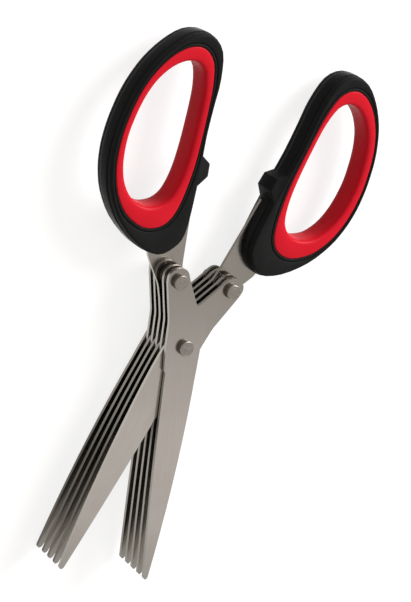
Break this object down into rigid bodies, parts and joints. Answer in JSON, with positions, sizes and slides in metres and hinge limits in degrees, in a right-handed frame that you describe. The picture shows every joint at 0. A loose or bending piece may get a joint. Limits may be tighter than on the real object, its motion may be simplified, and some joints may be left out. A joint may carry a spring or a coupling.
{
  "type": "herb scissors",
  "caption": "Scissors with stacked interleaved blades on one pivot rivet and two oval handles with soft finger rings, for cutting herbs into narrow strips.",
  "frame": {"origin": "on the pivot's axis, at the underside of the pivot rivet's lower head, the lowest point of the scissors as they lie", "axes": "+Z along the pivot's axis and up, -Y towards the tips along the line that halves the opening, +Y towards the handles, +X towards the right handle"},
  "size_m": [0.1014, 0.1787, 0.0183],
  "materials": {
    "satin_stainless_steel": "satin, finely brushed",
    "polished_rivet_steel": "turned and polished",
    "black_moulded_plastic": "hard plastic with a fine moulded grain",
    "red_soft_rubber": "soft satin rubber"
  },
  "bodies": {
    "left_half": {"left_blade_1": "satin_stainless_steel", "left_blade_2": "satin_stainless_steel", "left_tang_blade_3": "satin_stainless_steel", "left_blade_4": "satin_stainless_steel", "left_blade_5": "satin_stainless_steel", "left_spacer_1": "polished_rivet_steel", "left_spacer_2": "polished_rivet_steel", "left_spacer_3": "polished_rivet_steel", "left_spacer_4": "polished_rivet_steel", "left_handle_rivet": "polished_rivet_steel", "left_handle_body": "black_moulded_plastic", "left_finger_ring": "red_soft_rubber", "pivot_rivet": "polished_rivet_steel"},
    "right_half": {"right_blade_1": "satin_stainless_steel", "right_blade_2": "satin_stainless_steel", "right_tang_blade_3": "satin_stainless_steel", "right_blade_4": "satin_stainless_steel", "right_blade_5": "satin_stainless_steel", "right_spacer_1": "polished_rivet_steel", "right_spacer_2": "polished_rivet_steel", "right_spacer_3": "polished_rivet_steel", "right_spacer_4": "polished_rivet_steel", "right_handle_rivet": "polished_rivet_steel", "right_handle_body": "black_moulded_plastic", "right_finger_ring": "red_soft_rubber"}
  },
  "joints": [
    {"name": "pivot", "type": "hinge", "parent": "left_half", "child": "right_half", "pos_m": [0, 0, 0], "axis": [0, 0, -1], "range_deg": [-26.5, 115.1]}
  ]
}
